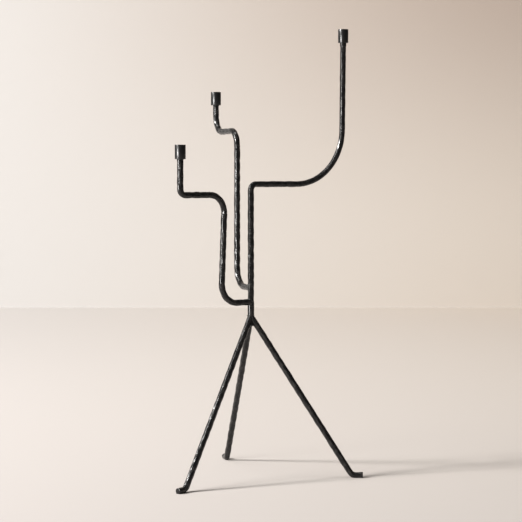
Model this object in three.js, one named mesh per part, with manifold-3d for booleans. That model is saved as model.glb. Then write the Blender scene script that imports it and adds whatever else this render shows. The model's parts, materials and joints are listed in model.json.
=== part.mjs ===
// A candelabra forged from solid round iron bar, for three taper candles.
// A tripod of splayed legs carries one column. The column's own bar bends over into the tallest arm,
// and two more arms are welded to the column's side. A plain tubular cup tops each arm.
// Millimetres, +Z up. The finished group stands on z = 0, centred under its own bounding box.

import * as THREE from 'three';
import { mergeVertices } from 'three/addons/utils/BufferGeometryUtils.js';
import Module from 'manifold-3d';

const wasm = await Module();
wasm.setup();

const { degToRad } = THREE.MathUtils;

// ---- Driving dimensions ------------------------------------------------------------------------

// Stock and fits
const BAR_DIAMETER = 13;
const JOINT_GAP = 0.3; // between any two touching pieces

// Tripod: azimuths are measured from +X towards +Y, reaches from the column's axis
const HUB_HEIGHT = 380; // where the legs' axes meet the column's axis
const LEG_REACH = 240; // to the corner where a leg turns level
const FOOT_LENGTH = 23; // from that corner to the foot's end
const FOOT_BEND_RADIUS = 12; // to the bar's axis, as every bend radius here
const SOLE_FLAT_DEPTH = 0.4; // ground off under each foot
const RIGHT_LEG_AZIMUTH = -2;
const BACK_LEG_AZIMUTH = 105;
const FRONT_LEG_AZIMUTH = 232;

// Tallest arm, one bar with the column
const TALL_ARM_AZIMUTH = 33;
const TALL_RUN_RISE = 308; // from the hub to the level run's axis
const TALL_REACH = 260;
const TALL_STEM_RISE = 339; // from the run's axis to the cup's underside
const TALL_STEM_LEAN = 4; // outwards, over the upright stretch
const TALL_SHOULDER_RADIUS = 14;
const TALL_SWEEP_RADIUS = 132;

// Lowest arm
const LOW_ARM_AZIMUTH = -139;
const LOW_JOINT_RISE = 33; // from the hub to the arm's axis at the column
const LOW_UPRIGHT_REACH = 90;
const LOW_UPRIGHT_LEAN = -11; // back towards the column, over the upright's height
const LOW_UPRIGHT_RISE = 251;
const LOW_RUN_LENGTH = 130;
const LOW_STEM_RISE = 81;
const LOW_ELBOW_RADIUS = 45;
const LOW_SHOULDER_RADIUS = 42;
const LOW_STEM_RADIUS = 14;

// Middle arm, measured in the same way
const MIDDLE_ARM_AZIMUTH = 111;
const MIDDLE_JOINT_RISE = 66;
const MIDDLE_UPRIGHT_REACH = 94;
const MIDDLE_UPRIGHT_LEAN = -1;
const MIDDLE_UPRIGHT_RISE = 369;
const MIDDLE_RUN_LENGTH = 151;
const MIDDLE_STEM_RISE = 66;
const MIDDLE_ELBOW_RADIUS = 48;
const MIDDLE_SHOULDER_RADIUS = 38;
const MIDDLE_STEM_RADIUS = 43;

// Candle cups
const CANDLE_DIAMETER = 22;
const CANDLE_CLEARANCE = 0.2; // on each side of the candle
const CUP_WALL = 1.2;
const CUP_HEIGHT = 32.3;
const CUP_FLOOR_THICKNESS = 3;

// Weld metal
const CUP_WELD_LEG = 2.2; // the fillet's two legs, along the stem and out under the floor
const ARM_WELD_LEG = 2.6;
const ARM_WELD_TOE = 0.4; // thickness where the fillet dies out on the bar
const HUB_WELD_PROUD = 3; // beyond the column's surface
const HUB_WELD_RISE = 5.4; // up the column, past its lower end
const HUB_WELD_BORE_MARGIN = 3; // the column's radius less that of the hollow under it, where the legs part

// Facets
const BAR_SIDES = 16;
const CUP_SIDES = 48;
const BEND_STEP = degToRad(10);

// ---- Values that follow ------------------------------------------------------------------------

const BAR_RADIUS = BAR_DIAMETER / 2;
const CUP_INNER_RADIUS = CANDLE_DIAMETER / 2 + CANDLE_CLEARANCE;
const CUP_OUTER_RADIUS = CUP_INNER_RADIUS + CUP_WALL;
const FOOT_AXIS_HEIGHT = BAR_RADIUS - SOLE_FLAT_DEPTH;
const LEG_SLOPE = LEG_REACH / (HUB_HEIGHT - FOOT_AXIS_HEIGHT); // reach gained for each unit of drop
const LEG_TILT = Math.atan(LEG_SLOPE);
// The column ends where the legs' outer surfaces leave its own.
const COLUMN_FOOT_HEIGHT = HUB_HEIGHT + (BAR_RADIUS / Math.cos(LEG_TILT) - BAR_RADIUS) / LEG_SLOPE;
// The crotch's depth below the hub, where the legs' inner surfaces leave the column's axis.
const CROTCH_DEPTH = (BAR_RADIUS + JOINT_GAP) / Math.cos(LEG_TILT) / LEG_SLOPE;

const TALL_RUN_HEIGHT = HUB_HEIGHT + TALL_RUN_RISE;
const TALL_CUP_HEIGHT = TALL_RUN_HEIGHT + TALL_STEM_RISE;
const LOW_JOINT_HEIGHT = HUB_HEIGHT + LOW_JOINT_RISE;
const LOW_RUN_HEIGHT = LOW_JOINT_HEIGHT + LOW_UPRIGHT_RISE;
const LOW_CUP_HEIGHT = LOW_RUN_HEIGHT + LOW_STEM_RISE;
const LOW_HEAD_REACH = LOW_UPRIGHT_REACH + LOW_UPRIGHT_LEAN;
const LOW_REACH = LOW_HEAD_REACH + LOW_RUN_LENGTH;
const MIDDLE_JOINT_HEIGHT = HUB_HEIGHT + MIDDLE_JOINT_RISE;
const MIDDLE_RUN_HEIGHT = MIDDLE_JOINT_HEIGHT + MIDDLE_UPRIGHT_RISE;
const MIDDLE_CUP_HEIGHT = MIDDLE_RUN_HEIGHT + MIDDLE_STEM_RISE;
const MIDDLE_HEAD_REACH = MIDDLE_UPRIGHT_REACH + MIDDLE_UPRIGHT_LEAN;
const MIDDLE_REACH = MIDDLE_HEAD_REACH + MIDDLE_RUN_LENGTH;

// ---- Materials ---------------------------------------------------------------------------------

function ironFinish() {
  return new THREE.MeshStandardMaterial({ color: 0x1b1b1c, roughness: 0.42, metalness: 0.55 });
}

function cupFinish() {
  return new THREE.MeshStandardMaterial({ color: 0x161617, roughness: 0.36, metalness: 0.5 });
}

function weldFinish() {
  return new THREE.MeshStandardMaterial({ color: 0x191919, roughness: 0.5, metalness: 0.5 });
}

function named(name, geometry, material) {
  const mesh = new THREE.Mesh(geometry, material);
  mesh.name = name;
  return mesh;
}

// ---- Cutting and joining -----------------------------------------------------------------------

function toSolid(geometry) {
  const bare = geometry.clone();
  bare.deleteAttribute('normal');
  bare.deleteAttribute('uv');
  const merged = mergeVertices(bare);
  return new wasm.Manifold(new wasm.Mesh({
    numProp: 3,
    vertProperties: new Float32Array(merged.attributes.position.array),
    triVerts: new Uint32Array(merged.index.array),
  }));
}

function toGeometry(solid) {
  const mesh = solid.getMesh();
  const geometry = new THREE.BufferGeometry();
  geometry.setAttribute('position', new THREE.BufferAttribute(mesh.vertProperties, 3));
  geometry.setIndex(new THREE.BufferAttribute(mesh.triVerts, 1));
  geometry.computeVertexNormals();
  return geometry;
}

// ---- Bent bar ----------------------------------------------------------------------------------

// A round bend about a centre, from a start point, turned by an angle about an axis.
class Bend extends THREE.Curve {
  constructor(centre, start, axis, angle) {
    super();
    this.centre = centre;
    this.spoke = start.clone().sub(centre);
    this.axis = axis;
    this.angle = angle;
  }

  getPoint(t) {
    return this.spoke.clone().applyAxisAngle(this.axis, this.angle * t).add(this.centre);
  }

  getTangent(t) {
    const spoke = this.spoke.clone().applyAxisAngle(this.axis, this.angle * t);
    return this.axis.clone().cross(spoke).normalize();
  }
}

// A bar's axis: straight and bent stretches end to end. Steps are shared out stretch by stretch,
// so that a straight takes one long step and a bend takes many short ones.
class BarAxis extends THREE.Curve {
  constructor(stretches) {
    super();
    this.stretches = stretches;
    this.steps = stretches.reduce((sum, stretch) => sum + stretch.steps, 0);
  }

  getUtoTmapping(u) {
    return u;
  }

  locate(t) {
    let step = Math.round(t * this.steps);
    const stretch = this.stretches.find((candidate) => {
      if (step <= candidate.steps) return true;
      step -= candidate.steps;
      return false;
    });
    return { curve: stretch.curve, along: step / stretch.steps };
  }

  getPoint(t) {
    const { curve, along } = this.locate(t);
    return curve.getPoint(along);
  }

  getTangent(t) {
    const { curve, along } = this.locate(t);
    return curve.getTangent(along);
  }
}

// The axis through the given corners, [reach, height] in the XZ plane, with a bend at each inner one.
function bentAxis(corners, bendRadii) {
  const points = corners.map(([reach, height]) => new THREE.Vector3(reach, 0, height));
  const stretches = [];
  let from = points[0];
  bendRadii.forEach((radius, index) => {
    const corner = points[index + 1];
    const before = corner.clone().sub(points[index]).normalize();
    const after = points[index + 2].clone().sub(corner).normalize();
    const angle = before.angleTo(after);
    const tangentLength = radius * Math.tan(angle / 2);
    const start = corner.clone().addScaledVector(before, -tangentLength);
    const end = corner.clone().addScaledVector(after, tangentLength);
    const axis = before.clone().cross(after).normalize();
    const centre = start.clone().addScaledVector(axis.clone().cross(before), radius);
    stretches.push({ curve: new THREE.LineCurve3(from, start), steps: 1 });
    stretches.push({ curve: new Bend(centre, start, axis, angle), steps: Math.ceil(angle / BEND_STEP) });
    from = end;
  });
  stretches.push({ curve: new THREE.LineCurve3(from, points.at(-1)), steps: 1 });
  return new BarAxis(stretches);
}

function roundBar(axis, radius) {
  const section = new THREE.Shape().absarc(0, 0, radius, 0, 2 * Math.PI);
  return new THREE.ExtrudeGeometry(section, {
    extrudePath: axis,
    steps: axis.steps,
    curveSegments: BAR_SIDES / 2,
  });
}

// ---- Column and arms ---------------------------------------------------------------------------

const stemTop = (cupHeight) => cupHeight - JOINT_GAP;

const TALL_AXIS = bentAxis(
  [
    [0, COLUMN_FOOT_HEIGHT],
    [0, TALL_RUN_HEIGHT],
    [TALL_REACH, TALL_RUN_HEIGHT],
    [TALL_REACH + TALL_STEM_LEAN, stemTop(TALL_CUP_HEIGHT)],
  ],
  [TALL_SHOULDER_RADIUS, TALL_SWEEP_RADIUS],
);

const LOW_AXIS = bentAxis(
  [
    [0, LOW_JOINT_HEIGHT],
    [LOW_UPRIGHT_REACH, LOW_JOINT_HEIGHT],
    [LOW_HEAD_REACH, LOW_RUN_HEIGHT],
    [LOW_REACH, LOW_RUN_HEIGHT],
    [LOW_REACH, stemTop(LOW_CUP_HEIGHT)],
  ],
  [LOW_ELBOW_RADIUS, LOW_SHOULDER_RADIUS, LOW_STEM_RADIUS],
);

const MIDDLE_AXIS = bentAxis(
  [
    [0, MIDDLE_JOINT_HEIGHT],
    [MIDDLE_UPRIGHT_REACH, MIDDLE_JOINT_HEIGHT],
    [MIDDLE_HEAD_REACH, MIDDLE_RUN_HEIGHT],
    [MIDDLE_REACH, MIDDLE_RUN_HEIGHT],
    [MIDDLE_REACH, stemTop(MIDDLE_CUP_HEIGHT)],
  ],
  [MIDDLE_ELBOW_RADIUS, MIDDLE_SHOULDER_RADIUS, MIDDLE_STEM_RADIUS],
);

// A plain upright cylinder on the column's axis, used to cut what meets the column.
function columnCore(bottom, top, radius) {
  const core = new THREE.CylinderGeometry(radius, radius, top - bottom, BAR_SIDES);
  core.rotateX(Math.PI / 2);
  core.translate(0, 0, (bottom + top) / 2);
  return toSolid(core);
}

// The column's surface with the joint gap round it, well past one arm's joint both ways.
function columnAtJoint(height) {
  const reach = 3 * BAR_DIAMETER;
  return columnCore(height - reach, height + reach, BAR_RADIUS + JOINT_GAP);
}

// An arm's inner end is coped to sit round the column.
function copedArm(axis, jointHeight) {
  return toGeometry(toSolid(roundBar(axis, BAR_RADIUS)).subtract(columnAtJoint(jointHeight)));
}

// The fillet round a coped end, less the column and the arm. The two bars have one diameter, so their
// sides are flush and the fillet stands proud only above and below the arm.
function armWeld(axis, jointHeight) {
  const surface = BAR_RADIUS + JOINT_GAP;
  const toeReach = surface + ARM_WELD_LEG;
  const collar = new THREE.LatheGeometry([
    new THREE.Vector2(0, 0),
    new THREE.Vector2(toeReach, 0),
    new THREE.Vector2(toeReach, surface),
    new THREE.Vector2(surface + ARM_WELD_TOE, toeReach),
    new THREE.Vector2(0, toeReach),
  ], 2 * BAR_SIDES);
  collar.rotateZ(-Math.PI / 2);
  collar.translate(0, 0, jointHeight);
  const flushSides = new THREE.BoxGeometry(4 * toeReach, 2 * (surface + ARM_WELD_TOE), 4 * toeReach);
  flushSides.translate(0, 0, jointHeight);
  const arm = toSolid(roundBar(axis, surface));
  const fillet = toSolid(collar).intersect(toSolid(flushSides));
  return toGeometry(fillet.subtract(columnAtJoint(jointHeight)).subtract(arm));
}

// ---- Tripod ------------------------------------------------------------------------------------

const LEG_AZIMUTHS = [RIGHT_LEG_AZIMUTH, BACK_LEG_AZIMUTH, FRONT_LEG_AZIMUTH]; // in rising order
const LEG_RUN_ON = 1.5 * BAR_DIAMETER; // height that a leg is run on past the hub before it is trimmed
const MITRE_BLOCK = 12 * BAR_DIAMETER; // larger than the stretch of leg that it trims
const FULL_TURN = 360;

// A block that fills one side of an upright plane through the column's axis, standing off by an offset.
function mitreBlock(azimuth, side, offset) {
  const block = new THREE.BoxGeometry(MITRE_BLOCK, MITRE_BLOCK, MITRE_BLOCK);
  block.translate(0, side * (MITRE_BLOCK / 2 + offset), HUB_HEIGHT);
  block.rotateZ(degToRad(azimuth));
  return toSolid(block);
}

// One leg along +X, run on past the hub and then trimmed: flat under the column's end, mitred
// against its two neighbours, and ground flat under the foot. grow thickens it all round.
function legSolid(legIndex, grow) {
  const axis = bentAxis(
    [
      [-LEG_RUN_ON * LEG_SLOPE, HUB_HEIGHT + LEG_RUN_ON],
      [LEG_REACH, FOOT_AXIS_HEIGHT],
      [LEG_REACH + FOOT_LENGTH, FOOT_AXIS_HEIGHT],
    ],
    [FOOT_BEND_RADIUS],
  );
  const azimuth = LEG_AZIMUTHS[legIndex];
  const next = LEG_AZIMUTHS[legIndex + 1] ?? LEG_AZIMUTHS[0] + FULL_TURN;
  const previous = LEG_AZIMUTHS[legIndex - 1] ?? LEG_AZIMUTHS.at(-1) - FULL_TURN;
  const standOff = grow - JOINT_GAP / 2;
  const overhead = new THREE.BoxGeometry(MITRE_BLOCK, MITRE_BLOCK, MITRE_BLOCK);
  overhead.translate(0, 0, COLUMN_FOOT_HEIGHT - JOINT_GAP + grow + MITRE_BLOCK / 2);
  const ground = new THREE.BoxGeometry(2 * MITRE_BLOCK, MITRE_BLOCK, MITRE_BLOCK);
  ground.translate(LEG_REACH, 0, -MITRE_BLOCK / 2);
  return toSolid(roundBar(axis, BAR_RADIUS + grow))
    .subtract(mitreBlock((next - azimuth) / 2, 1, standOff))
    .subtract(mitreBlock((previous - azimuth) / 2, -1, standOff))
    .subtract(toSolid(overhead))
    .subtract(toSolid(ground));
}

function turned(solid, azimuth) {
  const geometry = toGeometry(solid);
  geometry.rotateZ(degToRad(azimuth));
  return toSolid(geometry);
}

// Weld metal round the column's lower end and down into the crotch between the legs.
function hubWeld() {
  const bore = BAR_RADIUS - HUB_WELD_BORE_MARGIN;
  const neck = BAR_RADIUS + 2 * JOINT_GAP;
  const belly = BAR_RADIUS + HUB_WELD_PROUD;
  const bottom = HUB_HEIGHT - CROTCH_DEPTH;
  const top = COLUMN_FOOT_HEIGHT - JOINT_GAP + HUB_WELD_RISE;
  const profile = [
    new THREE.Vector2(bore, bottom),
    new THREE.Vector2(neck, bottom),
    new THREE.Vector2(belly, HUB_HEIGHT - CROTCH_DEPTH / 2),
    new THREE.Vector2(belly, HUB_HEIGHT),
    new THREE.Vector2(neck, top),
    new THREE.Vector2(bore, top),
    new THREE.Vector2(bore, bottom),
  ];
  const blob = new THREE.LatheGeometry(profile, 2 * BAR_SIDES);
  blob.rotateX(Math.PI / 2);
  let weld = toSolid(blob).subtract(
    columnCore(COLUMN_FOOT_HEIGHT - JOINT_GAP, HUB_HEIGHT + MITRE_BLOCK, BAR_RADIUS + JOINT_GAP),
  );
  LEG_AZIMUTHS.forEach((azimuth, legIndex) => {
    weld = weld.subtract(turned(legSolid(legIndex, JOINT_GAP), azimuth));
  });
  return toGeometry(weld);
}

// ---- Candle cups -------------------------------------------------------------------------------

function lathed(profile) {
  const geometry = new THREE.LatheGeometry(profile, CUP_SIDES);
  geometry.rotateX(Math.PI / 2);
  return geometry;
}

function cupSleeve() {
  return lathed([
    new THREE.Vector2(CUP_INNER_RADIUS, 0),
    new THREE.Vector2(CUP_OUTER_RADIUS, 0),
    new THREE.Vector2(CUP_OUTER_RADIUS, CUP_HEIGHT),
    new THREE.Vector2(CUP_INNER_RADIUS, CUP_HEIGHT),
    new THREE.Vector2(CUP_INNER_RADIUS, 0),
  ]);
}

function cupFloor() {
  const radius = CUP_INNER_RADIUS - JOINT_GAP;
  return lathed([
    new THREE.Vector2(0, 0),
    new THREE.Vector2(radius, 0),
    new THREE.Vector2(radius, CUP_FLOOR_THICKNESS),
    new THREE.Vector2(0, CUP_FLOOR_THICKNESS),
  ]);
}

// A ring fillet under the floor, round the top of the stem.
function cupWeld() {
  const stem = BAR_RADIUS + JOINT_GAP;
  return lathed([
    new THREE.Vector2(stem, -JOINT_GAP - CUP_WELD_LEG),
    new THREE.Vector2(stem + CUP_WELD_LEG, -JOINT_GAP),
    new THREE.Vector2(stem, -JOINT_GAP),
    new THREE.Vector2(stem, -JOINT_GAP - CUP_WELD_LEG),
  ]);
}

// A cup stands on the end of its stem and is set plumb, so that the candle stands upright.
function cup(prefix, reach, height) {
  const group = new THREE.Group();
  group.position.set(reach, 0, height);
  group.add(named(`${prefix}_cup_sleeve`, cupSleeve(), cupFinish()));
  group.add(named(`${prefix}_cup_floor`, cupFloor(), cupFinish()));
  group.add(named(`${prefix}_cup_weld`, cupWeld(), weldFinish()));
  return group;
}

// ---- Assembly ----------------------------------------------------------------------------------

function armGroup(azimuth) {
  const group = new THREE.Group();
  group.rotation.z = degToRad(azimuth);
  return group;
}

const tallArm = armGroup(TALL_ARM_AZIMUTH);
tallArm.add(named('column_and_tall_arm', roundBar(TALL_AXIS, BAR_RADIUS), ironFinish()));
tallArm.add(cup('tall', TALL_REACH + TALL_STEM_LEAN, TALL_CUP_HEIGHT));

const middleArm = armGroup(MIDDLE_ARM_AZIMUTH);
middleArm.add(named('middle_arm', copedArm(MIDDLE_AXIS, MIDDLE_JOINT_HEIGHT), ironFinish()));
middleArm.add(named('middle_arm_weld', armWeld(MIDDLE_AXIS, MIDDLE_JOINT_HEIGHT), weldFinish()));
middleArm.add(cup('middle', MIDDLE_REACH, MIDDLE_CUP_HEIGHT));

const lowArm = armGroup(LOW_ARM_AZIMUTH);
lowArm.add(named('low_arm', copedArm(LOW_AXIS, LOW_JOINT_HEIGHT), ironFinish()));
lowArm.add(named('low_arm_weld', armWeld(LOW_AXIS, LOW_JOINT_HEIGHT), weldFinish()));
lowArm.add(cup('low', LOW_REACH, LOW_CUP_HEIGHT));

const tripod = new THREE.Group();
['right_leg', 'back_leg', 'front_leg'].forEach((name, legIndex) => {
  const leg = named(name, toGeometry(legSolid(legIndex, 0)), ironFinish());
  leg.rotation.z = degToRad(LEG_AZIMUTHS[legIndex]);
  tripod.add(leg);
});
tripod.add(named('tripod_weld', hubWeld(), weldFinish()));

const stand = new THREE.Group();
stand.add(tripod, tallArm, middleArm, lowArm);

// The origin goes to the middle of the underside of the whole candelabra's box.
const bounds = new THREE.Box3().setFromObject(stand, true);
const middle = bounds.getCenter(new THREE.Vector3());
stand.position.set(-middle.x, -middle.y, -bounds.min.z);

const candelabra = new THREE.Group();
candelabra.add(stand);

export default candelabra;
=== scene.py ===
import json
import math
import random

import bmesh
import bpy
import numpy as np
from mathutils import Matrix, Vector


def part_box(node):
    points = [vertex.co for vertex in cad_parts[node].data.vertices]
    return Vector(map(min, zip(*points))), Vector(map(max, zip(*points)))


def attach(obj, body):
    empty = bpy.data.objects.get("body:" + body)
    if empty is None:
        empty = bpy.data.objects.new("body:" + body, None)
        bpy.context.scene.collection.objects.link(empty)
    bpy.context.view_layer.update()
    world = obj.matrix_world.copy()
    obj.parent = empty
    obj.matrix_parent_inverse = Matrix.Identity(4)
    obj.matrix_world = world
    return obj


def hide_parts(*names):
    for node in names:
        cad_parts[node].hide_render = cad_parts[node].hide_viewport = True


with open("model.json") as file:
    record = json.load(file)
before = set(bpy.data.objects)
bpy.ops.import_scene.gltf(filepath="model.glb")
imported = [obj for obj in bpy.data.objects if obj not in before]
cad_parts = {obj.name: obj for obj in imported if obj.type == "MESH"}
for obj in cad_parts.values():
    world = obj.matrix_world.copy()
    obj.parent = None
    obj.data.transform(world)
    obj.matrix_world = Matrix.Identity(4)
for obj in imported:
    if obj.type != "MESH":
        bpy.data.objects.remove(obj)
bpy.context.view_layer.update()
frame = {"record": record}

up = Vector((0, 0, 1))


# ---- Tripod legs -------------------------------------------------------------------------------
# Three legs of 13 mm round iron bar, drawn down hot under the hammer, which leaves rows of long
# shallow flats all round. Each leg's lower end is turned outwards, level, and ground flat under
# its sole. Their upper ends meet under the column, where they are welded.

BAR_RADIUS = 0.0067          # between the marks, which stand out from it
HUB_BELOW_RIM = 0.007        # from the weld's upper rim down to where the legs' axes meet
SECTION_SIDES = 60
STATION = 0.0011             # from one ring of vertices to the next, along the bar
MOST_CUTS = 100              # in one go of the subdivide tool
RING_SLACK = 1.003           # takes in the vertices of a drawn-out end, and no others

ROWS = 7                     # of hammer marks round the bar
DEEPEST_MARK = 0.0014
FLAT_LENGTHS = (0.022, 0.034)
FLAT_DEPTHS = (0.65, 1.3)    # shares of the depth meant for the stretch
FLAT_SPACING = (0.82, 1.04)  # from one flat to the next in its row, in shares of its length
FLAT_WANDER = 0.2            # radians to either side of its row
WIDEST_FLAT = 1.1            # radians, from its middle to its furthest edge
ROW_LEAD = 0.010             # the furthest that a row starts before the bar's end
WAVER = 0.00010              # mean size of the bar's slow unevenness
WAVER_SWING = 0.00007
SHORT_WAVER = 93             # radians a metre
LONG_WAVER = 41
SHOULDER = 0.007             # length over which the foot comes back to the bar's own size

weld_low, weld_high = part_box("tripod_weld")
column_line = Vector(((weld_low.x + weld_high.x) / 2, (weld_low.y + weld_high.y) / 2, 0))
hub = column_line + up * (weld_high.z - HUB_BELOW_RIM)


def bend_out(corners, radii, marks):
    """The bar's axis through its corners, as straight and bent stretches end to end."""
    stretches = []
    start = corners[0]
    length = 0.0
    for index, radius in enumerate(radii):
        corner = corners[index + 1]
        before = (corner - corners[index]).normalized()
        after = (corners[index + 2] - corner).normalized()
        angle = before.angle(after)
        run = radius * math.tan(angle / 2)
        turn_start = corner - before * run
        axis = before.cross(after).normalized()
        spoke = before.cross(axis).normalized()
        straight = (turn_start - start).length
        stretches.append({"bent": False, "start": start, "end": turn_start, "along": before,
                          "from": length, "length": straight, "mark": marks[2 * index]})
        length += straight
        stretches.append({"bent": True, "start": turn_start, "end": corner + after * run,
                          "along": before, "axis": axis, "angle": angle, "radius": radius,
                          "centre": turn_start - spoke * radius, "spoke": spoke,
                          "from": length, "length": radius * angle,
                          "mark": marks[2 * index + 1]})
        length += radius * angle
        start = corner + after * run
    last = corners[-1] - start
    stretches.append({"bent": False, "start": start, "end": corners[-1],
                      "along": last.normalized(), "from": length, "length": last.length,
                      "mark": marks[-1]})
    return stretches


def pick(piece, kind, wanted):
    """In edit mode, selects the vertices or edges that pass a test, and nothing else."""
    bpy.ops.mesh.select_mode(type=kind)
    bpy.ops.mesh.select_all(action="DESELECT")
    mesh = bmesh.from_edit_mesh(piece.data)
    for element in wanted(mesh):
        element.select_set(True)
    mesh.select_flush_mode()
    bmesh.update_edit_mesh(piece.data)


def draw_bar(name, stretches):
    """A ring of the bar's section, extruded along each straight and spun round each bend."""
    first = stretches[0]
    bpy.ops.object.select_all(action="DESELECT")
    bpy.ops.mesh.primitive_circle_add(
        vertices=SECTION_SIDES, radius=BAR_RADIUS, location=first["start"],
        rotation=first["along"].to_track_quat("Z", "Y").to_euler())
    bar = bpy.context.object
    bar.name = name
    bar.data.name = name
    bpy.ops.object.transform_apply(location=True, rotation=True, scale=True)
    bpy.ops.object.mode_set(mode="EDIT")
    bpy.ops.mesh.select_mode(type="VERT")
    bpy.ops.mesh.select_all(action="SELECT")
    for stretch in stretches:
        steps = max(1, round(stretch["length"] / STATION))
        if stretch["bent"]:
            bpy.ops.mesh.spin(steps=steps, angle=-stretch["angle"], center=stretch["centre"],
                              axis=stretch["axis"])
            continue
        draws = math.ceil(steps / MOST_CUTS)
        draw = (stretch["end"] - stretch["start"]) / draws
        for count in range(draws):
            bpy.ops.mesh.extrude_region_move(TRANSFORM_OT_translate={"value": draw})
            pick(bar, "EDGE", lambda mesh: [edge for edge in mesh.edges
                                            if edge.calc_length() > draw.length / 2])
            bpy.ops.mesh.subdivide(number_cuts=max(1, steps // draws))
            drawn_to = stretch["start"] + draw * (count + 1)
            pick(bar, "VERT", lambda mesh: [
                vertex for vertex in mesh.verts
                if (vertex.co - drawn_to).length < RING_SLACK * BAR_RADIUS])
    bpy.ops.object.mode_set(mode="OBJECT")
    return bar


def measure_along(bar, stretches):
    """Each vertex's distance along the bar, and its place round it: side and outer offsets."""
    places = np.empty(3 * len(bar.data.vertices))
    bar.data.vertices.foreach_get("co", places)
    places = places.reshape(-1, 3)
    across = np.array(next(stretch["axis"] for stretch in stretches if stretch["bent"]))
    nearest = np.full(len(places), np.inf)
    along = np.zeros(len(places))
    outer = np.zeros(len(places))
    for stretch in stretches:
        tangent = np.array(stretch["along"])
        if stretch["bent"]:
            arm = places - np.array(stretch["centre"])
            spoke = np.array(stretch["spoke"])
            turn = np.arctan2(arm @ tangent, arm @ spoke)
            turn = np.clip(turn, 0, stretch["angle"])
            facing = np.outer(np.cos(turn), spoke) + np.outer(np.sin(turn), tangent)
            foot = np.array(stretch["centre"]) + stretch["radius"] * facing
            here = stretch["from"] + turn * stretch["radius"]
        else:
            arm = places - np.array(stretch["start"])
            step = np.clip(arm @ tangent, 0, stretch["length"])
            facing = np.broadcast_to(np.cross(tangent, across), places.shape)
            foot = np.array(stretch["start"]) + np.outer(step, tangent)
            here = stretch["from"] + step
        away = np.linalg.norm(places - foot, axis=1)
        closer = away < nearest
        nearest[closer] = away[closer]
        along[closer] = here[closer]
        outer[closer] = np.einsum("ij,ij->i", places - foot, facing)[closer]
    side = (places - np.array(stretches[0]["start"])) @ across
    return along, side, outer


def hammer(bar, stretches, seed, row_turn=0.0, foot=None, neck=None):
    """Lays rows of long shallow marks along the bar, a little uneven, as hand blows leave them.

    The bar's normals still point inwards here, so each mark stands out by its depth, where the
    real ones are pressed in. The foot and the neck are the bar's ends, each a length and how
    much its radius grows, where the real ones are thinner.
    """
    chance = random.Random(seed)
    along, side, outer = measure_along(bar, stretches)
    around = np.arctan2(side, outer)
    depth = WAVER + WAVER_SWING * (np.sin(along * SHORT_WAVER + seed)
                                   + np.sin(along * LONG_WAVER + 2 * around + seed))
    if foot:
        reach, thinner = foot
        depth += thinner * np.clip((reach - along) / SHOULDER, 0, 1)
    total = stretches[-1]["from"] + stretches[-1]["length"]
    if neck:
        reach, thinner = neck
        depth += thinner * (along > total - reach)
    for row in range(ROWS):
        angle = row_turn + 2 * math.pi * row / ROWS
        place = -ROW_LEAD * chance.random()
        while place < total:
            long = chance.uniform(*FLAT_LENGTHS)
            centre = place + long / 2
            mark = next((stretch["mark"] for stretch in stretches
                         if centre < stretch["from"] + stretch["length"]), stretches[-1]["mark"])
            press = mark * chance.uniform(*FLAT_DEPTHS)
            facing = angle + chance.uniform(-FLAT_WANDER, FLAT_WANDER)
            hollow = 1 - ((along - centre) / (long / 2)) ** 2
            swing = (around - facing + math.pi) % (2 * math.pi) - math.pi
            inside = (hollow > 0) & (np.abs(swing) < WIDEST_FLAT)
            flat = BAR_RADIUS - press * hollow[inside]
            cut = BAR_RADIUS - flat / np.cos(swing[inside])
            depth[inside] = np.maximum(depth[inside], cut)
            place += long * chance.uniform(*FLAT_SPACING)
    depth = np.clip(depth / DEEPEST_MARK, 0, 1)
    group = bar.vertex_groups.new(name="hammer_marks")
    for index, weight in enumerate(depth.tolist()):
        group.add([index], weight, "REPLACE")
    pressed = bar.modifiers.new("hammer_marks", "DISPLACE")
    pressed.vertex_group = group.name
    pressed.mid_level = 0
    pressed.strength = -DEEPEST_MARK
    bpy.ops.object.modifier_apply(modifier=pressed.name)


def close_ends(bar, rounding):
    """Fills both ends and rounds their rims."""
    bpy.ops.object.mode_set(mode="EDIT")
    bpy.ops.mesh.select_mode(type="EDGE")
    bpy.ops.mesh.select_all(action="DESELECT")
    bpy.ops.mesh.select_non_manifold()
    bpy.ops.mesh.fill_holes(sides=0)
    pick(bar, "EDGE", lambda mesh: [edge for face in mesh.faces
                                    if len(face.verts) == SECTION_SIDES for edge in face.edges])
    bpy.ops.mesh.bevel(offset=rounding, segments=3, affect="EDGES")
    bpy.ops.mesh.select_all(action="SELECT")
    bpy.ops.mesh.normals_make_consistent(inside=False)
    bpy.ops.object.mode_set(mode="OBJECT")


SAME_PLACE = 1e-6            # vertices nearer than this to a cut lie on it


def cut_level(bar, height, keep_above):
    """Cuts the bar off level at a height, and fills the cut."""
    bpy.ops.object.mode_set(mode="EDIT")
    bpy.ops.mesh.select_all(action="SELECT")
    bpy.ops.mesh.bisect(plane_co=(0, 0, height), plane_no=(0, 0, 1), use_fill=True,
                        threshold=SAME_PLACE, clear_inner=keep_above,
                        clear_outer=not keep_above)
    bpy.ops.mesh.select_all(action="SELECT")
    bpy.ops.mesh.normals_make_consistent(inside=False)
    bpy.ops.object.mode_set(mode="OBJECT")


def keep_marks(bar, stretches):
    """Stores the vertices' places in the straight bar, and how far each is inside its radius.

    A mark that stands out counts as none.
    """
    along, side, outer = measure_along(bar, stretches)
    straight = bar.data.attributes.new("straight_bar", "FLOAT_VECTOR", "POINT")
    straight.data.foreach_set("vector", np.column_stack([outer, side, along]).ravel())
    pressed = bar.data.attributes.new("pressed", "FLOAT", "POINT")
    depth = (BAR_RADIUS - np.hypot(outer, side)) / DEEPEST_MARK
    pressed.data.foreach_set("value", np.clip(depth, 0, 1))


def node(tree, kind, label, **values):
    """Adds a labelled shader node and sets its plain values."""
    made = tree.nodes.new(kind)
    made.label = label
    made.name = label
    for key, value in values.items():
        setattr(made, key, value)
    return made


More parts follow.
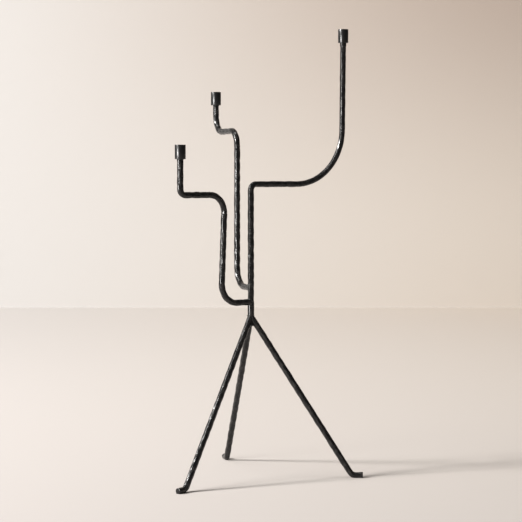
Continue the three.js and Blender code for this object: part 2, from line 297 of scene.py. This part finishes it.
def grain_group():
    """Forge scale: mottled tone, patchy gloss and a fine pitted skin, from the place in the bar."""
    tree = bpy.data.node_groups.new("forge_scale", "ShaderNodeTree")
    tree.interface.new_socket("Place", in_out="INPUT", socket_type="NodeSocketVector")
    for name, in_out in [("Patch scale", "INPUT"), ("Pit scale", "INPUT"),
                         ("Mottle", "OUTPUT"), ("Pits", "OUTPUT"), ("Skin", "OUTPUT")]:
        tree.interface.new_socket(name, in_out=in_out, socket_type="NodeSocketFloat")
    given = node(tree, "NodeGroupInput", "given")
    result = node(tree, "NodeGroupOutput", "result")
    patches = node(tree, "ShaderNodeTexNoise", "scale patches")
    patches.inputs["Detail"].default_value = 5
    patches.inputs["Roughness"].default_value = 0.62
    pits = node(tree, "ShaderNodeTexNoise", "fine pits")
    pits.inputs["Detail"].default_value = 3
    planish = node(tree, "ShaderNodeTexVoronoi", "small planishing marks",
                   feature="SMOOTH_F1")
    planish.inputs["Smoothness"].default_value = 0.35
    skin = node(tree, "ShaderNodeMath", "marks and pits", operation="MULTIPLY_ADD")
    skin.inputs[1].default_value = 0.35
    for texture, scale in [(patches, "Patch scale"), (planish, "Patch scale"),
                           (pits, "Pit scale")]:
        tree.links.new(given.outputs["Place"], texture.inputs["Vector"])
        tree.links.new(given.outputs[scale], texture.inputs["Scale"])
    tree.links.new(pits.outputs["Fac"], skin.inputs[0])
    tree.links.new(planish.outputs["Distance"], skin.inputs[2])
    tree.links.new(patches.outputs["Fac"], result.inputs["Mottle"])
    tree.links.new(pits.outputs["Fac"], result.inputs["Pits"])
    tree.links.new(skin.outputs["Value"], result.inputs["Skin"])
    return tree


forge_scale = grain_group()


def ramp(tree, label, low, high, source):
    """A smooth step between two positions of a mask."""
    step = node(tree, "ShaderNodeMapRange", label, interpolation_type="SMOOTHSTEP")
    step.inputs["From Min"].default_value = low
    step.inputs["From Max"].default_value = high
    tree.links.new(source, step.inputs["Value"])
    return step.outputs["Result"]


def tone_mix(tree, label, share, first, second):
    """Mixes two tones by a mask. Each is a plain colour or the output of another node."""
    mix = node(tree, "ShaderNodeMix", label, data_type="RGBA")
    for socket, tone in [(mix.inputs["A"], first), (mix.inputs["B"], second)]:
        if isinstance(tone, tuple):
            socket.default_value = (*tone, 1)
        else:
            tree.links.new(tone, socket)
    tree.links.new(share, mix.inputs["Factor"])
    return mix.outputs["Result"]


def scale_node(tree, patch, pit, place):
    """The forge scale, with its patches and pits at this material's size."""
    scale = node(tree, "ShaderNodeGroup", "forge scale", node_tree=forge_scale)
    scale.inputs["Patch scale"].default_value = patch
    scale.inputs["Pit scale"].default_value = pit
    tree.links.new(place, scale.inputs["Place"])
    return scale


def patchy_gloss(tree, scale, smoothest, roughest):
    """Lets the roughness vary with the scale's patches."""
    gloss = node(tree, "ShaderNodeMapRange", "patchy gloss")
    gloss.inputs["To Min"].default_value = smoothest
    gloss.inputs["To Max"].default_value = roughest
    tree.links.new(scale.outputs["Mottle"], gloss.inputs["Value"])
    tree.links.new(gloss.outputs["Result"], tree.nodes["Principled BSDF"].inputs["Roughness"])


def skin_relief(tree, height, strength, distance):
    """Raises the fine skin as a bump."""
    relief = node(tree, "ShaderNodeBump", "skin relief")
    relief.inputs["Strength"].default_value = strength
    relief.inputs["Distance"].default_value = distance
    tree.links.new(height, relief.inputs["Height"])
    tree.links.new(relief.outputs["Normal"], tree.nodes["Principled BSDF"].inputs["Normal"])


BAR_SCALE_TONES = [(0.0030, 0.0030, 0.0033), (0.0080, 0.0078, 0.0076)]
WORN_RIDGE = (0.020, 0.019, 0.018)


def hammered_iron():
    """Satin black over hammered iron, worn a little lighter in patches.

    No mark lies inside the bar's radius, so the ridge mask is full all over the marks.
    """
    material = bpy.data.materials.new("blackened_hammered_iron")
    material.use_nodes = True
    tree = material.node_tree
    paint = tree.nodes["Principled BSDF"]
    place = node(tree, "ShaderNodeAttribute", "place in the straight bar",
                 attribute_name="straight_bar")
    stretch = node(tree, "ShaderNodeMapping", "drawn out lengthwise")
    stretch.inputs["Scale"].default_value = (1, 1, 0.45)
    tree.links.new(place.outputs["Vector"], stretch.inputs["Vector"])
    scale = scale_node(tree, patch=170, pit=1400, place=stretch.outputs["Vector"])
    pressed = node(tree, "ShaderNodeAttribute", "depth of the flats", attribute_name="pressed")
    ridge = ramp(tree, "ridges", 0.16, 0.06, pressed.outputs["Fac"])
    patchy = ramp(tree, "patches", 0.42, 0.68, scale.outputs["Mottle"])
    worn = node(tree, "ShaderNodeMath", "worn ridges", operation="MULTIPLY")
    tree.links.new(ridge, worn.inputs[0])
    tree.links.new(patchy, worn.inputs[1])
    body = tone_mix(tree, "scale tone", patchy, *BAR_SCALE_TONES)
    tone = tone_mix(tree, "ridge tone", worn.outputs["Value"], body, WORN_RIDGE)
    tree.links.new(tone, paint.inputs["Base Color"])
    paint.inputs["Specular IOR Level"].default_value = 0.34
    patchy_gloss(tree, scale, smoothest=0.14, roughest=0.32)
    skin_relief(tree, scale.outputs["Skin"], strength=0.5, distance=0.00007)
    return material


black_iron = hammered_iron()


RIM_ANGLE = math.radians(50)  # edges sharper than this keep their crease


def finish_bar(bar, node_name):
    """Gives the bar its finish and its place in the assembly."""
    bpy.ops.object.select_all(action="DESELECT")
    bar.select_set(True)
    bpy.context.view_layer.objects.active = bar
    bpy.ops.object.shade_smooth_by_angle(angle=RIM_ANGLE)
    bar.data.materials.append(black_iron)
    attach(bar, "root")
    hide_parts(node_name)


FOOT_TURN_REACH = 0.237      # from the column's line to the corner where the leg turns level
FOOT_REACH = 0.2628          # from the column's line to the end of the toe
FOOT_AXIS_HEIGHT = 0.0061
FOOT_BEND = 0.014
LEG_MARK = 0.00070           # size of a hammer mark
LEG_SEED = 11
TOE_ROUNDING = 0.0014
RUN_ON = 0.012               # height that a leg runs on past the hub before it is cut level

soles = {mount["name"]: Vector(mount["pos_m"]) for mount in frame["record"]["mounts"]}
for index, side in enumerate(["right", "back", "front"]):
    outward = (soles[f"{side}_foot_sole"] - column_line).normalized()
    fall = (hub.z - FOOT_AXIS_HEIGHT) / FOOT_TURN_REACH
    leg_corners = [
        hub - outward * (RUN_ON / fall) + up * RUN_ON,
        column_line + outward * FOOT_TURN_REACH + up * FOOT_AXIS_HEIGHT,
        column_line + outward * FOOT_REACH + up * FOOT_AXIS_HEIGHT,
    ]
    leg_line = bend_out(leg_corners, [FOOT_BEND], [LEG_MARK, LEG_MARK, LEG_MARK])
    leg = draw_bar(f"{side}_leg_forged", leg_line)
    hammer(leg, leg_line, seed=LEG_SEED + index)
    close_ends(leg, TOE_ROUNDING)
    cut_level(leg, 0, keep_above=True)
    cut_level(leg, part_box(f"{side}_leg")[1].z, keep_above=False)
    keep_marks(leg, leg_line)
    finish_bar(leg, f"{side}_leg")


# ---- Tripod weld -------------------------------------------------------------------------------
# Weld metal run round the foot of the column and down the seams between the legs, filling their
# crotch from below, then dressed smooth with a file and blackened with the rest. The legs and the
# column run through it and through each other, where it hides them.

DROP_SEGMENTS = 14
DROP_RINGS = 9


def lay_metal(name, drops, voxel, smoothing):
    """Drops of weld metal, fused together and smoothed. Each drop is a place and a radius."""
    bpy.ops.object.select_all(action="DESELECT")
    first_place, first_radius = drops[0]
    bpy.ops.mesh.primitive_uv_sphere_add(segments=DROP_SEGMENTS, ring_count=DROP_RINGS,
                                         radius=first_radius, location=first_place)
    metal = bpy.context.object
    metal.name = name
    metal.data.name = name
    bpy.ops.object.transform_apply(location=True, rotation=True, scale=True)
    bpy.ops.object.mode_set(mode="EDIT")
    for place, radius in drops[1:]:
        bpy.ops.mesh.primitive_uv_sphere_add(segments=DROP_SEGMENTS, ring_count=DROP_RINGS,
                                             radius=radius, location=place)
    bpy.ops.object.mode_set(mode="OBJECT")
    fused = metal.modifiers.new("fused", "REMESH")
    fused.mode = "VOXEL"
    fused.voxel_size = voxel
    bpy.ops.object.modifier_apply(modifier=fused.name)
    dressed = metal.modifiers.new("dressed", "SMOOTH")
    dressed.iterations = smoothing
    dressed.factor = 0.5
    bpy.ops.object.modifier_apply(modifier=dressed.name)
    bpy.ops.object.shade_smooth()
    return metal


WELD_TONES = [(0.0030, 0.0030, 0.0033), (0.0080, 0.0076, 0.0072)]


def weld_finish():
    """Satin black over dressed weld metal, a little rougher than the bars."""
    material = bpy.data.materials.new("blackened_weld")
    material.use_nodes = True
    tree = material.node_tree
    paint = tree.nodes["Principled BSDF"]
    place = node(tree, "ShaderNodeTexCoord", "place")
    scale = scale_node(tree, patch=420, pit=1900, place=place.outputs["Object"])
    patchy = ramp(tree, "patches", 0.40, 0.66, scale.outputs["Mottle"])
    tone = tone_mix(tree, "weld tone", patchy, *WELD_TONES)
    tree.links.new(tone, paint.inputs["Base Color"])
    patchy_gloss(tree, scale, smoothest=0.26, roughest=0.46)
    skin_relief(tree, scale.outputs["Skin"], strength=0.6, distance=0.0002)
    return material


black_weld = weld_finish()


def finish_weld(metal, node_name):
    """Gives weld metal its finish and its place in the assembly."""
    metal.data.materials.append(black_weld)
    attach(metal, "root")
    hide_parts(node_name)


CORE_TOP = 0.008             # from the hub down to the first of the drops under the column
CROTCH_FILL = 0.0205         # from the hub down to the lowest drops
CORE_DROPS = 7
CORE_DROP = 0.0060           # radius of the uppermost, and what each next one is less
CORE_SHRINK = 0.0003
SEAM_TOP = -0.001            # the seams start this far below the hub, so just above it
SEAM_RUN = 0.0135            # how far down they run
SEAM_DROPS = 9
SEAM_DROP = 0.0022
SEAM_SUNK = 0.0013           # how far the drops sit inside the groove
GROOVE = 1.08                # the groove's floor, in shares of the bar's radius
WEB_TOP = 0.012              # from the hub down to where the web between the legs starts
WEB_ROWS = 4
WEB_DROP = 0.0037
WEB_SPREAD = 0.5             # of the way from the middle of a web to the leg on either side
WEB_SET_IN = 0.8             # of the way out to the line between the two legs
COLLAR_RISE = 0.0022         # of the ring of drops round the column, above the hub
COLLAR_RADIUS = 0.0052
COLLAR_DROP = 0.0019
COLLAR_DROPS = 16
DRESSED_GRID = 0.0005        # size of the voxels that fuse the drops
DRESSING = 10                # rounds of smoothing, for the file's work

leg_slope = FOOT_TURN_REACH / (hub.z - FOOT_AXIS_HEIGHT)
leg_ways = sorted(math.atan2(*reversed((sole - column_line).xy))
                  for name, sole in soles.items() if name.endswith("sole"))
drops = []
for count in range(CORE_DROPS):
    depth = CORE_TOP + (CROTCH_FILL - CORE_TOP) * count / (CORE_DROPS - 1)
    drops.append((hub - up * depth, CORE_DROP - CORE_SHRINK * count))
for index, way in enumerate(leg_ways):
    following = leg_ways[(index + 1) % 3] + (2 * math.pi if index == 2 else 0)
    middle = (way + following) / 2
    half = (following - way) / 2
    seam_way = Vector((math.cos(middle), math.sin(middle), 0))
    for count in range(SEAM_DROPS):
        depth = SEAM_TOP + SEAM_RUN * count / (SEAM_DROPS - 1)
        reach = leg_slope * max(depth, 0)
        apart = min(reach * math.sin(half), BAR_RADIUS)
        out = reach * math.cos(half) + GROOVE * math.sqrt(BAR_RADIUS ** 2 - apart ** 2)
        drops.append((hub - up * depth + seam_way * max(out - SEAM_SUNK, 0), SEAM_DROP))
    for count in range(WEB_ROWS):
        depth = WEB_TOP + (CROTCH_FILL - WEB_TOP) * count / (WEB_ROWS - 1)
        reach = leg_slope * depth
        apart = reach * math.sin(half) * WEB_SPREAD
        for across in (-apart, 0, apart):
            drops.append((hub - up * depth + seam_way * (reach * math.cos(half) * WEB_SET_IN)
                          + up.cross(seam_way) * across, WEB_DROP))
for count in range(COLLAR_DROPS):
    turn = 2 * math.pi * count / COLLAR_DROPS
    facing = Vector((math.cos(turn), math.sin(turn), 0))
    drops.append((hub + up * COLLAR_RISE + facing * COLLAR_RADIUS, COLLAR_DROP))
tripod_metal = lay_metal("tripod_weld_dressed", drops, DRESSED_GRID, DRESSING)
finish_weld(tripod_metal, "tripod_weld")


# ---- Column and tall arm -----------------------------------------------------------------------
# One length of the same bar. It stands on the legs' meeting point, bends tightly over at the top,
# runs level and then sweeps up in a wide curve, smoother than the column, to its cup. The real
# foot, below the low arm, and neck, under the cup, are drawn thinner. Here they are thicker.

TALL_STEM_RISE = 0.339       # from the level run's axis to the cup's underside
TALL_STEM_LEAN = 0.004
COLUMN_SUNK = 0.004          # how far the column's end sits below the hub
TOP_BEND = 0.014
SWEEP_BEND = 0.132
COLUMN_MARKS = [0.00085, 0.00050, 0.00060, 0.00035, 0.00050]
COLUMN_SEED = 5
COLUMN_ROW_TURN = 0.35
COLUMN_FOOT = (0.041, 0.0008)  # its length, and what its radius gains
COLUMN_NECK = (0.008, 0.0008)
END_ROUNDING = 0.0006
SEAT_GAP = 0.0003            # under each cup


def cup_seat(prefix):
    """The middle of a cup's underside."""
    low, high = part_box(f"{prefix}_cup_sleeve")
    return Vector(((low.x + high.x) / 2, (low.y + high.y) / 2, low.z))


tall_seat = cup_seat("tall")
outward = Vector((tall_seat.x, tall_seat.y, 0)) - column_line
tall_reach = outward.length
outward.normalize()
tall_run_height = tall_seat.z - TALL_STEM_RISE
tall_line = bend_out(
    [
        hub - up * COLUMN_SUNK,
        column_line + up * tall_run_height,
        column_line + outward * (tall_reach - TALL_STEM_LEAN) + up * tall_run_height,
        column_line + outward * tall_reach + up * (tall_seat.z - SEAT_GAP),
    ],
    [TOP_BEND, SWEEP_BEND],
    COLUMN_MARKS,
)
column = draw_bar("column_and_tall_arm_forged", tall_line)
hammer(column, tall_line, seed=COLUMN_SEED, row_turn=COLUMN_ROW_TURN, foot=COLUMN_FOOT,
       neck=COLUMN_NECK)
close_ends(column, END_ROUNDING)
keep_marks(column, tall_line)
finish_bar(column, "column_and_tall_arm")


# ---- Middle and low arms -----------------------------------------------------------------------
# Two more lengths of the bar, each bent like a swan's neck: level out of the column, up, level
# outwards again and up to its cup. The real inner ends are coped to the column. Here they are
# square and run into it, where the column hides them.

ARM_SUNK = 0.002             # from the column's axis out to the arm's inner end
ARM_MARK = 0.00080
ARM_STRETCHES = 7            # straight and bent, end to end

# reach and lean of the arm's upright, rise of its stem, its three bends, and its hammering
arm_patterns = {
    "middle": {"reach": 0.094, "lean": -0.001, "stem": 0.066,
               "bends": [0.048, 0.038, 0.043], "seed": 23, "row_turn": 0.1},
    "low": {"reach": 0.090, "lean": -0.011, "stem": 0.081,
            "bends": [0.045, 0.042, 0.014], "seed": 37, "row_turn": 0.6},
}
for prefix, pattern in arm_patterns.items():
    bead_low, bead_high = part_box(f"{prefix}_arm_weld")
    joint_height = (bead_low.z + bead_high.z) / 2
    seat = cup_seat(prefix)
    outward = Vector((seat.x, seat.y, 0)) - column_line
    cup_reach = outward.length
    outward.normalize()
    head_reach = pattern["reach"] + pattern["lean"]
    run_height = seat.z - pattern["stem"]
    arm_line = bend_out(
        [
            column_line + up * joint_height + outward * ARM_SUNK,
            column_line + outward * pattern["reach"] + up * joint_height,
            column_line + outward * head_reach + up * run_height,
            column_line + outward * cup_reach + up * run_height,
            column_line + outward * cup_reach + up * (seat.z - SEAT_GAP),
        ],
        pattern["bends"],
        [ARM_MARK] * ARM_STRETCHES,
    )
    arm = draw_bar(f"{prefix}_arm_forged", arm_line)
    hammer(arm, arm_line, seed=pattern["seed"], row_turn=pattern["row_turn"])
    close_ends(arm, END_ROUNDING)
    keep_marks(arm, arm_line)
    finish_bar(arm, f"{prefix}_arm")


# ---- Arm welds ---------------------------------------------------------------------------------
# A short run of weld bead over and under each arm where it meets the column, with none at the
# sides. The bead keeps the small ripples that the rod leaves, and the bars run through it.

ARM_DROP = 0.0023
ARM_DROPS = 36               # round the joint, before the gaps at its sides
RIPPLE = 0.12                # each drop is so much larger or smaller than the one before
BEAD_RISE = 0.0066
BEAD_HALF_WIDTH = 0.0062
SIDE_GAP = 0.3               # no drop where the ring's rise is less than this share
BEAD_GRID = 0.0004
BEAD_DRESSING = 2

for prefix in arm_patterns:
    bead_low, bead_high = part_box(f"{prefix}_arm_weld")
    joint = column_line + up * (bead_low.z + bead_high.z) / 2
    outward = cup_seat(prefix) - column_line
    outward.z = 0
    outward.normalize()
    sideways = up.cross(outward)
    drops = []
    for count in range(ARM_DROPS):
        turn = 2 * math.pi * count / ARM_DROPS
        rise = math.sin(turn)
        if abs(rise) < SIDE_GAP:
            continue
        place = (joint + up * rise * BEAD_RISE + sideways * math.cos(turn) * BEAD_HALF_WIDTH
                 + outward * abs(rise) * BEAD_RISE)
        drops.append((place, ARM_DROP * (1 + RIPPLE * (-1) ** count)))
    bead = lay_metal(f"{prefix}_arm_weld_bead", drops, BEAD_GRID, BEAD_DRESSING)
    finish_weld(bead, f"{prefix}_arm_weld")


# ---- Candle cups -------------------------------------------------------------------------------
# Three short lengths of drawn steel tube, faced square at both ends with the burrs just broken.
# A thick disc is let into the lower end and brazed in, and carries the candle. A ring of weld
# metal under the disc holds the cup on its bar.

CUP_WALL = 0.0012
CUP_SIDES = 96
CUP_SHY = 0.00001            # how far the tube stays inside its envelope
DISC_RADIUS = 0.0110
DISC_THICKNESS = 0.003
DISC_DISH = [(0.0022, -0.0003), (0.0018, -0.0002)]  # width and depth of each step of its hollow
BROKEN_RIM = 0.0002
RIM_CORNER = math.radians(40)  # edges sharper than this are broken
CUP_CREASE = math.radians(35)  # edges sharper than this keep their crease
BEAD_RADIUS = 0.0063         # of the ring of weld metal under the cup
BEAD_THICKNESS = 0.0013
BEAD_BELOW = 0.0009          # its middle, below the cup's underside
BEAD_RIPPLES = 15
BEAD_RIPPLE = 0.00022
TUBE_TONES = [(0.0028, 0.0028, 0.0030), (0.0060, 0.0058, 0.0056)]


def drawn_tube_black():
    """Smooth satin black over drawn tube, with faint lengthwise lines."""
    material = bpy.data.materials.new("black_drawn_tube")
    material.use_nodes = True
    tree = material.node_tree
    paint = tree.nodes["Principled BSDF"]
    place = node(tree, "ShaderNodeTexCoord", "place")
    scale = scale_node(tree, patch=260, pit=2600, place=place.outputs["Object"])
    drawn = node(tree, "ShaderNodeMapping", "drawn lengthwise")
    drawn.inputs["Scale"].default_value = (1, 1, 0.02)
    tree.links.new(place.outputs["Object"], drawn.inputs["Vector"])
    lines = node(tree, "ShaderNodeTexNoise", "drawing lines")
    lines.inputs["Scale"].default_value = 900
    lines.inputs["Detail"].default_value = 2
    tree.links.new(drawn.outputs["Vector"], lines.inputs["Vector"])
    patchy = ramp(tree, "patches", 0.35, 0.75, scale.outputs["Mottle"])
    tone = tone_mix(tree, "tube tone", patchy, *TUBE_TONES)
    tree.links.new(tone, paint.inputs["Base Color"])
    patchy_gloss(tree, scale, smoothest=0.25, roughest=0.33)
    skin = node(tree, "ShaderNodeMath", "lines and pits", operation="MULTIPLY_ADD")
    skin.inputs[1].default_value = 0.7
    tree.links.new(lines.outputs["Fac"], skin.inputs[0])
    tree.links.new(scale.outputs["Pits"], skin.inputs[2])
    skin_relief(tree, skin.outputs["Value"], strength=0.2, distance=0.00002)
    return material


black_tube = drawn_tube_black()


def round_rims(piece):
    """Breaks the sharp rims with a small applied bevel."""
    rims = piece.modifiers.new("broken_rims", "BEVEL")
    rims.width = BROKEN_RIM
    rims.segments = 2
    rims.limit_method = "ANGLE"
    rims.angle_limit = RIM_CORNER
    bpy.ops.object.modifier_apply(modifier=rims.name)
    bpy.ops.object.shade_smooth_by_angle(angle=CUP_CREASE)


cup_low, cup_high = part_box("tall_cup_sleeve")
cup_radius = (cup_high.x - cup_low.x) / 2 - CUP_SHY
cup_height = cup_high.z - cup_low.z
bpy.ops.object.select_all(action="DESELECT")
bpy.ops.mesh.primitive_circle_add(vertices=CUP_SIDES, radius=cup_radius, location=tall_seat)
cup = bpy.context.object
bpy.ops.object.transform_apply(location=True, rotation=True, scale=True)
bpy.ops.object.mode_set(mode="EDIT")
bpy.ops.mesh.select_mode(type="EDGE")
bpy.ops.mesh.select_all(action="SELECT")
narrow = (cup_radius - CUP_WALL) / cup_radius
bpy.ops.mesh.extrude_region_move(TRANSFORM_OT_translate={"value": up * cup_height})
bpy.ops.mesh.extrude_region_move(TRANSFORM_OT_translate={"value": (0, 0, 0)})
bpy.ops.transform.resize(value=(narrow, narrow, 1), center_override=tall_seat)
bpy.ops.mesh.extrude_region_move(TRANSFORM_OT_translate={"value": up * -cup_height})
bpy.ops.mesh.select_all(action="DESELECT")
bpy.ops.mesh.select_non_manifold()
bpy.ops.mesh.bridge_edge_loops()
bpy.ops.mesh.select_all(action="SELECT")
bpy.ops.mesh.normals_make_consistent(inside=False)
bpy.ops.object.mode_set(mode="OBJECT")
round_rims(cup)

bpy.ops.object.select_all(action="DESELECT")
bpy.ops.mesh.primitive_circle_add(vertices=CUP_SIDES, radius=DISC_RADIUS, fill_type="NGON",
                                  location=tall_seat)
disc = bpy.context.object
bpy.ops.object.transform_apply(location=True, rotation=True, scale=True)
bpy.ops.object.mode_set(mode="EDIT")
bpy.ops.mesh.select_all(action="SELECT")
bpy.ops.mesh.extrude_region_move(TRANSFORM_OT_translate={"value": up * DISC_THICKNESS})
for width, sink in DISC_DISH:
    bpy.ops.mesh.inset(thickness=width, depth=sink)
bpy.ops.mesh.select_all(action="SELECT")
bpy.ops.mesh.normals_make_consistent(inside=False)
bpy.ops.object.mode_set(mode="OBJECT")
round_rims(disc)

bpy.ops.object.select_all(action="DESELECT")
bpy.ops.mesh.primitive_torus_add(major_segments=60, minor_segments=14,
                                 major_radius=BEAD_RADIUS, minor_radius=BEAD_THICKNESS,
                                 location=tall_seat - up * BEAD_BELOW)
ring = bpy.context.object
bpy.ops.object.transform_apply(location=True, rotation=True, scale=True)
bpy.ops.object.mode_set(mode="EDIT")
pick(ring, "VERT", lambda mesh: [
    vertex for vertex in mesh.verts
    if math.cos(BEAD_RIPPLES * math.atan2(*(vertex.co - tall_seat).yx)) > 0.5])
bpy.ops.transform.shrink_fatten(value=BEAD_RIPPLE)
bpy.ops.object.mode_set(mode="OBJECT")
bpy.ops.object.shade_smooth()

for prefix in ["tall", "middle", "low"]:
    seat = cup_seat(prefix)
    finishes = [(cup, "sleeve", "cup_tube", black_tube), (disc, "floor", "cup_floor", black_tube),
                (ring, "weld", "weld_metal", black_weld)]
    for model, part, slot_name, finish in finishes:
        bpy.ops.object.select_all(action="DESELECT")
        model.select_set(True)
        bpy.context.view_layer.objects.active = model
        bpy.ops.object.duplicate()
        copy = bpy.context.object
        bpy.ops.transform.translate(value=seat - tall_seat)
        bpy.ops.object.transform_apply(location=True, rotation=True, scale=True)
        copy.name = f"{prefix}_cup_{part}_finished"
        copy.data.name = copy.name
        copy.data.materials.append(finish)
        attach(copy, "root")
        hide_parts(f"{prefix}_cup_{part}")
for model in [cup, disc, ring]:
    bpy.data.objects.remove(model)


# ---- Floor and backdrop ------------------------------------------------------------------------
# A wide pale paper sheet, not part of the candelabra. It runs level under it and turns up sharply
# into a wall behind. Its colour holds painted light and shade, set by place: darker on the wall
# than on the far floor, darker still high on the right, near the front and far out on the left,
# and lighter towards the right of the floor.

SHEET_TURN = 0.008           # radius where the sheet turns up
SHEET_TURN_STEPS = 24
WALL_LINE = 4.93
SHEET_WIDTH = 26
FLOOR_LENGTH = 14
WALL_HEIGHT = 7
SHEET_CREASE = math.radians(20)

# the sheet's painted shades, left and right where there are two, and where each fades in, along one
# axis
WALL_PAINTED_SHADES = [(0.503, 0.490, 0.478), (0.537, 0.487, 0.434)]
HIGH_RIGHT_PAINTED_SHADE = (0.355, 0.290, 0.248)
FAR_FLOOR_PAINTED_SHADES = [(0.648, 0.622, 0.604), (0.737, 0.671, 0.602)]
NEAR_FLOOR_PAINTED_SHADES = [(0.312, 0.292, 0.286), (0.388, 0.361, 0.340)]
FAR_LEFT_PAINTED_SHADE = (0.13, 0.125, 0.12)
RIGHT_SHADE_FADE = (-1.9, 1.9)
HIGH_SHADE_FADE = (0.3, 2.0)
NEAR_SHADE_FADE = (5.2, -2.6)
FAR_LEFT_SHADE_FADE = (-1.8, -6.0)

bpy.ops.object.select_all(action="DESELECT")
bpy.ops.mesh.primitive_plane_add(size=1, location=(0, 0, 0))
sheet = bpy.context.object
sheet.name = "pale_sheet"
bpy.ops.object.mode_set(mode="EDIT")
bpy.ops.mesh.select_all(action="SELECT")
bpy.ops.transform.resize(value=(SHEET_WIDTH, FLOOR_LENGTH, 1))
bpy.ops.transform.translate(value=(0, WALL_LINE - SHEET_TURN - FLOOR_LENGTH / 2, 0))
pick(sheet, "VERT", lambda mesh: [vertex for vertex in mesh.verts if vertex.co.y > 0])
bpy.ops.mesh.spin(steps=SHEET_TURN_STEPS, angle=-math.pi / 2,
                  center=(0, WALL_LINE - SHEET_TURN, SHEET_TURN), axis=(1, 0, 0))
bpy.ops.mesh.extrude_region_move(TRANSFORM_OT_translate={"value": (0, 0, WALL_HEIGHT)})
bpy.ops.mesh.select_all(action="SELECT")
bpy.ops.mesh.normals_make_consistent(inside=False)
bpy.ops.object.mode_set(mode="OBJECT")
bpy.ops.object.shade_smooth_by_angle(angle=SHEET_CREASE)


def sheet_with_painted_shade():
    """Pale warm paper, with painted shade deeper high on the right, near the front and far out on
    the left.
    """
    material = bpy.data.materials.new("pale_sheet")
    material.use_nodes = True
    tree = material.node_tree
    paper = tree.nodes["Principled BSDF"]
    place = node(tree, "ShaderNodeTexCoord", "place")
    split = node(tree, "ShaderNodeSeparateXYZ", "across and up")
    tree.links.new(place.outputs["Object"], split.inputs["Vector"])
    # each mask below sets painted light and shade by place on the sheet
    wall = ramp(tree, "wall", 0.0, SHEET_TURN / 4, split.outputs["Z"])
    right = ramp(tree, "right end", *RIGHT_SHADE_FADE, split.outputs["X"])
    high = ramp(tree, "high part", *HIGH_SHADE_FADE, split.outputs["Z"])
    deeper = node(tree, "ShaderNodeMath", "high on the right", operation="MULTIPLY")
    tree.links.new(right, deeper.inputs[0])
    tree.links.new(high, deeper.inputs[1])
    wall_tone = tone_mix(tree, "wall tone", right, *WALL_PAINTED_SHADES)
    high_tone = tone_mix(tree, "high tone", deeper.outputs["Value"], wall_tone, HIGH_RIGHT_PAINTED_SHADE)
    near = ramp(tree, "near the front", *NEAR_SHADE_FADE, split.outputs["Y"])
    far_tone = tone_mix(tree, "far floor", right, *FAR_FLOOR_PAINTED_SHADES)
    near_tone = tone_mix(tree, "near floor", right, *NEAR_FLOOR_PAINTED_SHADES)
    floor_tone = tone_mix(tree, "floor tone", near, far_tone, near_tone)
    paper_tone = tone_mix(tree, "paper tone", wall, floor_tone, high_tone)
    far_left = ramp(tree, "far left end", *FAR_LEFT_SHADE_FADE, split.outputs["X"])
    sheet_tone = tone_mix(tree, "sheet tone", far_left, paper_tone, FAR_LEFT_PAINTED_SHADE)
    tree.links.new(sheet_tone, paper.inputs["Base Color"])
    paper.inputs["Roughness"].default_value = 0.9
    paper.inputs["Specular IOR Level"].default_value = 0.15
    return material


sheet.data.materials.append(sheet_with_painted_shade())


# ---- Light -------------------------------------------------------------------------------------
# A small soft box high and far off on the left, which throws thin shadows; a nearer one standing
# in front, which draws the bright line down the bars; a long strip overhead, which lines the tall
# sweep and the front leg; and a dim, slightly warm room.

HIGH_WAY = Vector((-0.811, -0.227, 0.539))   # from the candelabra towards the box
HIGH_DISTANCE = 9.5
TALL_PLACE = Vector((-3.3, -2.5, 0.62))
STRIP_WAY = Vector((-0.42, -0.12, 0.90))
STRIP_DISTANCE = 4.5
KEY_WHITE = (1.0, 0.975, 0.95)
SOFT_WHITE = (1.0, 0.98, 0.96)
ROOM_WHITE = (1.0, 0.95, 0.90, 1)
ROOM_STRENGTH = 0.15


def soft_box(name, place, aim, width, height, power, colour):
    """A rectangular area light at a place, turned to face a point."""
    bpy.ops.object.light_add(type="AREA", location=place)
    box = bpy.context.object
    box.name = name
    box.rotation_euler = (place - aim).to_track_quat("Z", "Y").to_euler()
    box.data.shape = "RECTANGLE"
    box.data.size = width
    box.data.size_y = height
    box.data.energy = power
    box.data.color = colour


soft_box("high_softbox", HIGH_WAY * HIGH_DISTANCE, aim=Vector((0, 0, 0.3)),
         width=1.4, height=1.4, power=1640, colour=KEY_WHITE)
soft_box("tall_softbox", TALL_PLACE, aim=Vector((0, 0, 0.62)),
         width=1.0, height=1.25, power=240, colour=SOFT_WHITE)
soft_box("overhead_strip", STRIP_WAY * STRIP_DISTANCE, aim=Vector((0, 0, 0.5)),
         width=0.3, height=3.8, power=104, colour=SOFT_WHITE)

room = bpy.data.worlds.new("dim_room")
room.use_nodes = True
room.node_tree.nodes["Background"].inputs["Color"].default_value = ROOM_WHITE
room.node_tree.nodes["Background"].inputs["Strength"].default_value = ROOM_STRENGTH
bpy.context.scene.world = room
bpy.context.scene.view_settings.view_transform = "Standard"


# ---- Camera ------------------------------------------------------------------------------------
# At the height of the level arms, looking slightly down, from almost four metres away.

CAMERA_PLACE = (-0.0229, -3.8455, 0.7085)
CAMERA_TILT = math.radians(87.01)            # up from looking straight down
CAMERA_LENS = 113.0                          # millimetres, as is the sensor
CAMERA_SENSOR = 36

bpy.ops.object.camera_add(location=CAMERA_PLACE, rotation=(CAMERA_TILT, 0, 0))
camera = bpy.context.object
camera.name = "front_camera"
camera.data.lens = CAMERA_LENS
camera.data.sensor_width = CAMERA_SENSOR
bpy.context.scene.camera = camera
